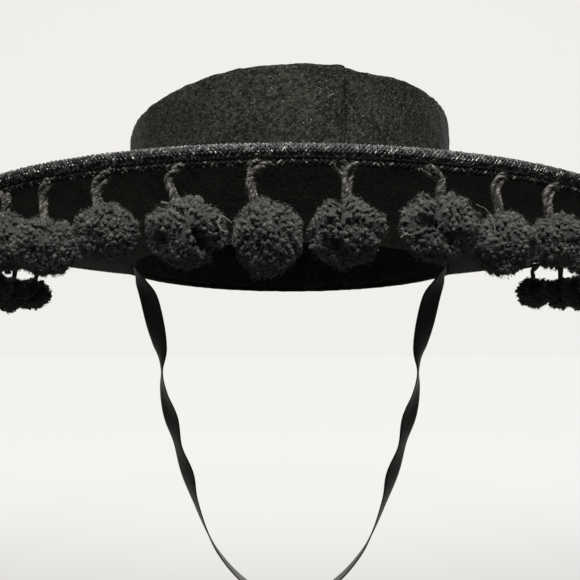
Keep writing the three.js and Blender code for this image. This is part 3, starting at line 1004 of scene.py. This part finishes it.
def chin_strap():
    """One ribbon that twists and curls a little as it falls."""
    line = curve(strap_table(), STRAP_STEPS)
    path, face = line[:, :3], np.radians(line[:, 3])
    along = unit(np.gradient(path, axis=0))
    wide = np.stack([np.cos(face), np.sin(face), 0 * face], 1)
    wide = unit(wide - (wide * along).sum(1, keepdims=True) * along)
    thick = np.cross(along, wide)
    share = np.linspace(0, 1, len(path))
    across = np.linspace(-1, 1, 11)
    cup = RIBBON_CUP * np.sin(share * CUP_TURNS)[:, None] * (across ** 2 - 0.4)[None]
    edge = 1 - 0.55 * np.abs(across) ** 6
    flat = path[:, None] + wide[:, None] * (across * RIBBON_WIDTH / 2)[None, :, None]
    front, back = (flat + thick[:, None] * (cup + out * RIBBON_THICK / 2 * edge)[..., None]
                   for out in (1, -1))
    rings = np.concatenate([back, front[:, ::-1]], 1)
    pieces = Pieces()
    pieces.skin(rings, tint=share[:, None])
    return pieces


# Threads worked loose: the pompom, then places across and above its middle in mm
THREADS = (
    ("pompom_16", ((-9, -2.6), (-11, -3.4), (-12.6, -3.2), (-14.4, -4.4))),
    ("pompom_16", ((9.6, 6.4), (12.6, 5.0), (14.6, 1.6), (15.4, -3.0), (16.6, -4.2))),
    ("pompom_16", ((5.8, -7.4), (7.6, -6.2), (9.6, -4.4))),
    ("pompom_14", ((-10, 1.4), (-12.4, 3.2), (-13.6, 1.4), (-12.6, -0.6), (-11, -0.8))),
)
THREAD_HALF = 0.1 * MM
THREAD_STEPS = 28


def stray_threads():
    """Thin single threads on the side of the pompoms that faces out."""
    pieces = Pieces()
    for name, places in THREADS:
        low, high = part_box(name)
        middle = np.array((low + high) / 2)
        turn = math.atan2(middle[0] / ROPE_X, -middle[1] / ROPE_Y)
        places = np.array([(x, -3.0 - abs(x) * 0.1, z - 2.6) for x, z in places]) * MM
        path = curve(places @ turning(heading_at(turn)).T + middle, THREAD_STEPS)
        normals = np.broadcast_to([0, 1.0, 0], path.shape)
        pieces.skin(sweep(path, normals, THREAD_HALF, 5)[:, ::-1], tint=0.75)
    return pieces


# Stage

def floor_mesh():
    """Round flat floor, with the brightness of each of its corners."""
    radii = np.geomspace(FLOOR_START, FLOOR_REACH, FLOOR_RINGS)
    radii = np.concatenate([[0], radii])[:, None]
    turn = np.linspace(0, TURN, FLOOR_SIDES, endpoint=False)[None, :]
    x, y = radii * np.cos(turn), radii * np.sin(turn)
    points = np.stack([x, y, np.full(x.shape, CAD_LOW.z - FLOOR_GAP)], -1)
    ahead = (y + GLOW_BACK) / np.sqrt(x ** 2 + y ** 2 + GLOW_OVER ** 2)
    soft = np.clip((ahead - WHITE_FROM) / (WHITE_TO - WHITE_FROM), 0, 1)
    glow = PALE + (WHITE - PALE) * soft * soft * (3 - 2 * soft) - FLOOR_SUNLIT
    count = turn.size
    faces = [(i * count + j, (i + 1) * count + j, (i + 1) * count + k, i * count + k)
             for i in range(len(radii) - 1)
             for j, k in zip(range(count), np.roll(range(count), -1))]
    mesh = bpy.data.meshes.new("floor")
    mesh.from_pydata(points.reshape(-1, 3).tolist(), [], faces)
    layer = mesh.attributes.new("glow", "FLOAT", "POINT")
    layer.data.foreach_set("value", glow.astype(np.float32).ravel())
    return mesh


def floor():
    """A floor under the hat that glows pale, brighter ahead, and is clear from below. Its
    brightness is its own glow, standing in for a lit floor, and it lights the hat's underside.
    """
    mesh = floor_mesh()
    material, nodes, links, shader = new_material("floor", 0.9)
    shader.inputs["Specular IOR Level"].default_value = 0
    shader.inputs["Base Color"].default_value = (0.03, 0.03, 0.03, 1)
    shader.inputs["Emission Color"].default_value = STUDIO_COLOUR
    level = node(nodes, "ShaderNodeAttribute", attribute_name="glow")
    links.new(level.outputs["Fac"], shader.inputs["Emission Strength"])
    below = nodes.new("ShaderNodeNewGeometry")
    clear = nodes.new("ShaderNodeBsdfTransparent")
    choice = nodes.new("ShaderNodeMixShader")
    links.new(below.outputs["Backfacing"], choice.inputs["Fac"])
    links.new(shader.outputs["BSDF"], choice.inputs[1])
    links.new(clear.outputs["BSDF"], choice.inputs[2])
    links.new(choice.outputs["Shader"], nodes["Material Output"].inputs["Surface"])
    mesh.materials.append(material)
    plane = bpy.data.objects.new("floor", mesh)
    bpy.context.scene.collection.objects.link(plane)


def surroundings():
    """Pale light from all round, paler ahead of the hat."""
    world = bpy.data.worlds.new("studio")
    world.use_nodes = True
    nodes, links = world.node_tree.nodes, world.node_tree.links
    place = nodes.new("ShaderNodeTexCoord")
    ahead = node(nodes, "ShaderNodeVectorMath", operation="DOT_PRODUCT")
    ahead.inputs[1].default_value = (0, 1, 0)
    level = node(nodes, "ShaderNodeMapRange", interpolation_type="SMOOTHSTEP",
                 in_From_Min=WHITE_FROM, in_From_Max=WHITE_TO, in_To_Min=PALE, in_To_Max=WHITE)
    links.new(place.outputs["Generated"], ahead.inputs[0])
    links.new(ahead.outputs["Value"], level.inputs["Value"])
    links.new(level.outputs["Result"], nodes["Background"].inputs["Strength"])
    nodes["Background"].inputs["Color"].default_value = STUDIO_COLOUR
    bpy.context.scene.world = world


def sun(name, azimuth, elevation, strength):
    """A far soft light."""
    light = bpy.data.lights.new(name, "SUN")
    light.energy, light.angle = strength, SUN_SOFTNESS
    made = bpy.data.objects.new(name, light)
    made.rotation_euler = (math.radians(90 - elevation), 0, math.radians(azimuth))
    bpy.context.scene.collection.objects.link(made)


def lamp(name, place, target, size, watts):
    """A near soft lamp that shines on a place and isn't seen itself."""
    light = bpy.data.lights.new(name, "AREA")
    light.shape, light.size, light.energy = "DISK", size, watts
    made = bpy.data.objects.new(name, light)
    made.location = place
    way = Vector(target) - Vector(place)
    made.rotation_euler = way.to_track_quat("-Z", "Y").to_euler()
    made.visible_camera = False
    bpy.context.scene.collection.objects.link(made)


def camera():
    """The photograph's view."""
    data = bpy.data.cameras.new("camera")
    data.sensor_width = SENSOR
    data.lens = SENSOR * FOCAL_PIXELS / FRAME_PIXELS
    data.clip_start, data.clip_end = 0.01, 100
    eye = bpy.data.objects.new("camera", data)
    eye.location = EYE
    eye.rotation_euler = (math.pi / 2 + EYE_PITCH, 0, 0)
    bpy.context.scene.collection.objects.link(eye)
    bpy.context.scene.camera = eye


def stage():
    """Camera, floor, surroundings and lights."""
    camera()
    floor()
    surroundings()
    lamp("key", **KEY)
    for row in SUNS:
        sun(**row)
    bpy.context.scene.view_settings.view_transform = "Standard"


def hat():
    """All pieces of the hat, each in place of its CAD nodes."""
    felt = felt_material()
    threads = {name: thread_material(name, **look) for name, look in YARNS.items()}
    crown_side().build("crown_band", felt, "felt", ["crown_side"])
    crown_top().build("crown_disc", felt, "felt", ["crown_top"])
    brim().build("felt_brim", felt, "felt", ["brim"])
    rope().build("braided_rope", threads["cord"], "rope", ["edge_rope"])
    tape().build("header_tape", threads["header"], "tape", ["fringe_tape"])
    for index in range(BALL_COUNT):
        name, ball, yarn = pompom(index)
        ball.build(name.replace("pompom", "yarn_ball"), threads["yarn"], "yarn", [name])
        yarn.build(name.replace("pompom", "yarn_tie"), threads["tie_yarn"], "yarn")
    stray_threads().build("stray_threads", threads["loose_thread"], "yarn")
    chin_strap().build("chin_ribbon", ribbon_material(), "ribbon", ["chin_strap"])


stage()
hat()
